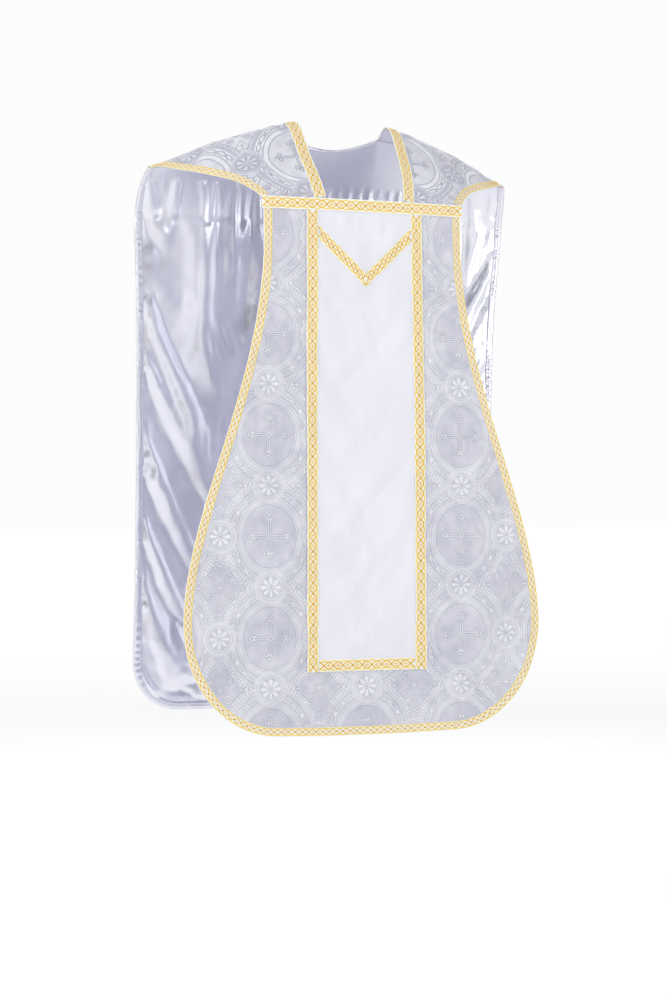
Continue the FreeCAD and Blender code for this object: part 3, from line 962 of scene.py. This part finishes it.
for side, sign in SIDES:
    for part, layer in LAYERS.items():
        # The shoulders' brocade is the copy whose turned tones are painted sheen.
        mat = MAT["brocade_shoulder_painted_sheen" if part == "brocade" else part]
        obj = shoulder_sheet("shoulder_%s_cloth_%s" % (part, side), layer, mat, sign)
        attach(obj, "yoke", "shoulder_%s_%s" % (part, side))


# Pillars (orphreys)
def pillar_half(z, top):
    return PILLAR_TOP_HALF + PILLAR_FLARE * (top - z) / (top - PILLAR_FOOT)


def orphrey_stand(x, z):
    sewn = smooth(93, 82, np.abs(x)) * smooth(-955, -930, z) * smooth(10, 24, chevron_distance(x, z))
    return one_sided(orphrey_relief(x, z) + 0.2, 0.4) * sewn


def pillar_sheet(side, point, top, shift):
    z = np.arange(top, PILLAR_FOOT + 2.0, -GRID)
    cols = int(2 * (PILLAR_TOP_HALF + 2) / GRID) | 1
    x = (pillar_half(z, top) - 2.0)[:, None] * np.linspace(-1, 1, cols)[None]
    z = np.repeat(z[:, None], cols, 1)
    uv = np.stack([x, z], -1) * MM
    stand = orphrey_stand(x, z - shift)
    faces = [point(x, z, depth - stand) for depth in ORPHREY]
    obj = closed_sheet(side + "_orphrey_cloth", *faces, uv, MAT["orphrey"])
    attach(obj, side, side + "_orphrey")


pillar_sheet("front", front_point, CLOTH_TOP - 1.0, 0.0)
pillar_sheet("back", back_point, BACK_TOP, BACK_SHIFT)


def resample(lines, step):
    """Lines side by side, given the same even spacing along the first, and that spacing."""
    old = arc_length(lines[0])
    new = np.linspace(0, old[-1], max(8, int(old[-1] / step)))
    return [read_table(new, old, line) for line in lines], new


def panel_braids(side, point, inward, top, side_line, shift):
    def put(node, pts, width, period, lift, mitre=(0, 0)):
        (line,), _ = resample([np.array(pts, float)], 3.0)
        obj = braid(node + "_braid", PanelTrack(point, line, inward), width, period, lift, mitre)
        attach(obj, side, node)

    half_w = 0.5 * WIDE
    foot = PILLAR_FOOT
    for name, sign in SIDES:
        a, b = pillar_half(top, top) - half_w, pillar_half(foot, top) - half_w
        put(side + "_pillar_galloon_" + name, [(sign * a, top), (sign * b, foot)], WIDE, WIDE_REPEAT,
            ON_ORPHREY)
        reach = pillar_half(top - 24, top) - WIDE - 0.5
        arm_top, arm_low = CHEVRON_TOP + shift, CHEVRON_LOW + shift
        slope = sign * inward * (arm_top - arm_low) / reach
        put(side + "_chevron_galloon_" + name, [(sign * reach, arm_top), (0.0, arm_low)], 0.9 * WIDE,
            CHEVRON_REPEAT, ON_ORPHREY, mitre=(slope, slope))
    put(side + "_pillar_galloon_foot", [(-FOOT_REACH, foot + half_w), (FOOT_REACH, foot + half_w)], WIDE,
        WIDE_REPEAT, ON_ORPHREY)
    line, _ = side_line(0.5 * NARROW)
    line = line[line[:, 1] <= top + 1.0]
    line = np.vstack([[(line[0, 0], top)], line])
    whole = np.vstack([line, (line * (-1, 1))[::-1][1:]])
    put(side + "_edge_galloon", whole, NARROW, NARROW_REPEAT, ON_CLOTH)


panel_braids("front", front_point, 1, FRONT_TOP, front_side, 0.0)
panel_braids("back", back_point, -1, BACK_TOP, back_side, BACK_SHIFT)

# Chest braid
CHEST_BRAID_HALF, CHEST_BRAID_Z = 190.5, -155.6
x = np.linspace(-CHEST_BRAID_HALF, CHEST_BRAID_HALF, 120)
chest_line = PanelTrack(front_point, np.stack([x, np.full_like(x, CHEST_BRAID_Z)], -1), 1)
attach(braid("chest_galloon_braid", chest_line, WIDE, WIDE_REPEAT, ON_BEND), "front", "chest_galloon")

# Braids on the shoulder pieces
def shoulder_track(t, u, sign):
    return Track(shoulder_layer(t, u, 0.0) * (sign, 1, 1), shoulder_normal(t, u) * (sign, 1, 1))


t = np.linspace(0.004, 1.0, 120)
gap = shoulder_width(t)
for side, sign in SIDES:
    for node, u, width, period in (
            ("neck_galloon_", 0.5 * WIDE / gap, WIDE, WIDE_REPEAT),
            ("arm_galloon_", 1.0 - 0.5 * NARROW / gap, NARROW, NARROW_REPEAT)):
        obj = braid(node + side + "_braid", shoulder_track(t, u, sign), width, period, ON_CLOTH)
        attach(obj, "yoke", node + side)


# Braids on the upper back
def upper_track(u, s):
    e = 0.01
    p = upper_back_point(u, s)
    n = np.cross(upper_back_point(u + e, s) - p, upper_back_point(u, s + e) - p)
    return Track(upper_back_cloth(u, s, 0.0), unit(n * np.sign(n[:, 1:2])))


def height_share(u, distance):
    z0, z1 = upper_back_point(u, np.zeros_like(u))[:, 2], BACK_TOP
    return distance / (z0 - z1)


# Share of the upper back's width that each braid spans, and distance from its edge
NAPE_SPAN, NAPE_INSET = 0.262, 10.0
YOKE_SPAN, YOKE_INSET = 0.985, 11.3
UPPER_BACK_HALF = 355.0
u = np.linspace(-NAPE_SPAN, NAPE_SPAN, 60)
nape_line = upper_track(u, height_share(u, NAPE_INSET))
nape = braid("neck_galloon_back_braid", nape_line, WIDE, WIDE_REPEAT, ON_CLOTH)
u = np.linspace(-YOKE_SPAN, YOKE_SPAN, 160)
yoke_line = upper_track(u, 1.0 - height_share(u, YOKE_INSET))
yoke_braid = braid("upper_back_galloon_braid", yoke_line, WIDE, WIDE_REPEAT, ON_BEND)
attach(nape, "yoke", "neck_galloon_back")
attach(yoke_braid, "back", "upper_back_galloon")
s = np.linspace(0.0, 1.0, 40)
for side, sign in SIDES:
    edge_line = upper_track(np.full_like(s, sign * (1 - 0.5 * NARROW / UPPER_BACK_HALF)), s)
    obj = braid("upper_back_edge_galloon_%s_braid" % side, edge_line, NARROW, NARROW_REPEAT, ON_CLOTH)
    attach(obj, "back", "upper_back_edge_galloon_" + side)


# Facing bands inside the edges: width, inset, depth of both faces, length beside the upper back
FACING_WIDE, FACING_INSET = 14.0, 0.8
FACING_BACK, FACING_FACE = 2.75, 3.1
UPPER_EDGE = 100.0


def facing(side, point, side_line, top, upper=None):
    """Turned band round an edge, in puckers between its two rows of stitches."""
    lines = []
    for inset in (FACING_INSET, FACING_WIDE):
        line, _ = side_line(inset)
        line = line[line[:, 1] <= top + 1.0]
        lines.append(np.vstack([line, (line * (-1, 1))[::-1][1:]]))
    lines, arc = resample(lines, 2.6)
    share = np.linspace(0, 1, 9)
    xz = lines[0][:, None] * (1 - share)[None, :, None] + lines[1][:, None] * share[None, :, None]
    x, z = xz[..., 0], xz[..., 1]

    def relief(k):
        beat = 0.12 + 0.88 * np.sin(k / 31.0 + 1.7 * np.sin(k / 73.0)) ** 4
        pucker = 0.95 * np.sin(k / 2.1 + 1.6 * np.sin(k / 17.0)) * beat
        across = np.sin(math.pi * share)[None, :] ** 0.6
        seam = -0.8 * np.exp(-((share[None, :] - 0.55) / 0.07) ** 2)
        return np.clip(1.5 * across + pucker * across + seam, 0.05, 4.0)

    along = arc[:, None]
    outer, inner = point(x, z, FACING_BACK), point(x, z, FACING_FACE + relief(along))
    if upper:
        s = np.linspace(0, 1, 60)[:-1, None]
        u = 1 - (FACING_INSET + (FACING_WIDE - FACING_INSET) * share[None, :]) / UPPER_BACK_HALF
        for sign, ss in ((1, s), (-1, s[::-1])):
            out = upper(sign * u, ss, FACING_BACK)
            into = upper(sign * u, ss, FACING_FACE + relief(UPPER_EDGE * ss))
            if sign > 0:
                outer, inner = np.vstack([out, outer]), np.vstack([into, inner])
                along = np.vstack([UPPER_EDGE * (ss - 1), along])
            else:
                outer, inner = np.vstack([outer, out]), np.vstack([inner, into])
                along = np.vstack([along, along[-1] + UPPER_EDGE * (1 - ss)])
    uv = np.stack([np.broadcast_to(along, outer.shape[:2]),
                   np.broadcast_to(share * FACING_WIDE, outer.shape[:2])], -1) * MM
    obj = closed_sheet(side + "_facing_band", inner, outer, uv, MAT["facing"])
    attach(obj, side, side + "_facing")


facing("front", front_point, front_side, FRONT_TOP)
facing("back", back_point, back_side, BACK_TOP, upper_back_cloth)

# cloth as cut


def cut(obj):
    """Width, length and area of the flat cloth, which its uv map holds in metres."""
    layer = obj.data.uv_layers[0].data
    uv = np.empty(2 * len(layer))
    layer.foreach_get("uv", uv)
    corner = uv.reshape(-1, 4, 2)
    a, b = corner[:, 2] - corner[:, 0], corner[:, 3] - corner[:, 1]
    both_faces = 0.5 * np.abs(a[:, 0] * b[:, 1] - a[:, 1] * b[:, 0]).sum()
    width, length = np.ptp(corner.reshape(-1, 2), axis=0)
    return round(float(width), 4), round(float(length), 4), round(float(0.5 * both_faces), 4)


def declare(name):
    obj = bpy.data.objects[name]
    width, length, area = cut(obj)


ON_BROCADE = {"front": ["front_edge_galloon", "chest_galloon"],
              "back": ["back_edge_galloon", "upper_back_galloon", "neck_galloon_back",
                       "upper_back_edge_galloon_left", "upper_back_edge_galloon_right"]}
for side, braids in ON_BROCADE.items():
    declare(side + "_brocade_cloth")
    declare(side + "_canvas_cloth")
    declare(side + "_lining_cloth")
    declare(side + "_facing_band")
    declare(side + "_orphrey_cloth")
for side, _ in SIDES:
    declare("shoulder_brocade_cloth_" + side)
    declare("shoulder_canvas_cloth_" + side)
    declare("shoulder_lining_cloth_" + side)

# floor, lights

FLOOR_Z, FLOOR_REACH = -1.52, 60.0
floor = add_object("floor", bpy.data.meshes.new("floor"))
floor_corners = [(i * FLOOR_REACH, j * FLOOR_REACH, FLOOR_Z) for i, j in ((-1, -1), (1, -1), (1, 1), (-1, 1))]
floor.data.from_pydata(floor_corners, [], [(0, 1, 2, 3)])
floor.data.materials.append(MAT["floor"])


def aim(obj, location, direction):
    obj.location = location
    obj.rotation_euler = direction.to_track_quat("-Z", "Y").to_euler()


LIT_POINT = Vector((0, 0, -0.55))


def area_light(name, location, size, power):
    data = bpy.data.lights.new(name, "AREA")
    data.shape, data.size, data.energy = "SQUARE", size, power
    aim(add_object(name, data), location, LIT_POINT - Vector(location))


def studio_world(back_level, bright, dim):
    """White to the eye; lights the cloth as a room with tall soft windows would."""
    world = bpy.data.worlds.new("studio")
    world.use_nodes = True
    net = Net(world.node_tree)
    plain = world.node_tree.nodes["Background"]
    plain.inputs[0].default_value = (1, 1, 1, 1)
    plain.inputs[1].default_value = back_level
    lit = net.node("ShaderNodeBackground")
    lit.inputs[0].default_value = (0.95, 0.96, 1.0, 1)
    sep = net.node("ShaderNodeSeparateXYZ")
    net.link(net.node("ShaderNodeTexCoord").outputs["Generated"], sep.inputs[0])
    x, z = (E(net, sep.outputs[i]) for i in (0, 2))
    window = (x * 7.0 + z * 1.5 + 0.6).sin() * 0.5 + 0.5
    up = z.step(-0.4, 0.8) * 0.5 + 0.5
    level = window * window * up * (bright - dim) + dim
    net.link(level.s, lit.inputs[1])
    mix = net.node("ShaderNodeMixShader")
    net.link(net.node("ShaderNodeLightPath").outputs["Is Camera Ray"], mix.inputs[0])
    net.link(lit.outputs[0], mix.inputs[1])
    net.link(plain.outputs[0], mix.inputs[2])
    net.link(mix.outputs[0], world.node_tree.nodes["World Output"].inputs[0])
    bpy.context.scene.world = world


studio_world(0.98, 1.95, 0.09)
area_light("key", (-3.0, -2.0, 1.0), 1.1, 51)
area_light("fill", (2.8, -2.6, 0.2), 1.4, 30)
area_light("rear", (1.5, 3.2, 1.4), 1.6, 55)
bpy.context.scene.view_settings.view_transform = "Standard"

camera = add_object("camera", bpy.data.cameras.new("camera"))
SENSOR, LENS_IN_SENSORS = 36.0, 2.314
CAMERA_PLACE, CAMERA_LOOK = (-1.5778, -3.8547, -0.673), Vector((0.3746, 0.9272, 0.0))
camera.data.sensor_width = SENSOR
camera.data.lens = LENS_IN_SENSORS * SENSOR
aim(camera, CAMERA_PLACE, CAMERA_LOOK)
bpy.context.scene.camera = camera
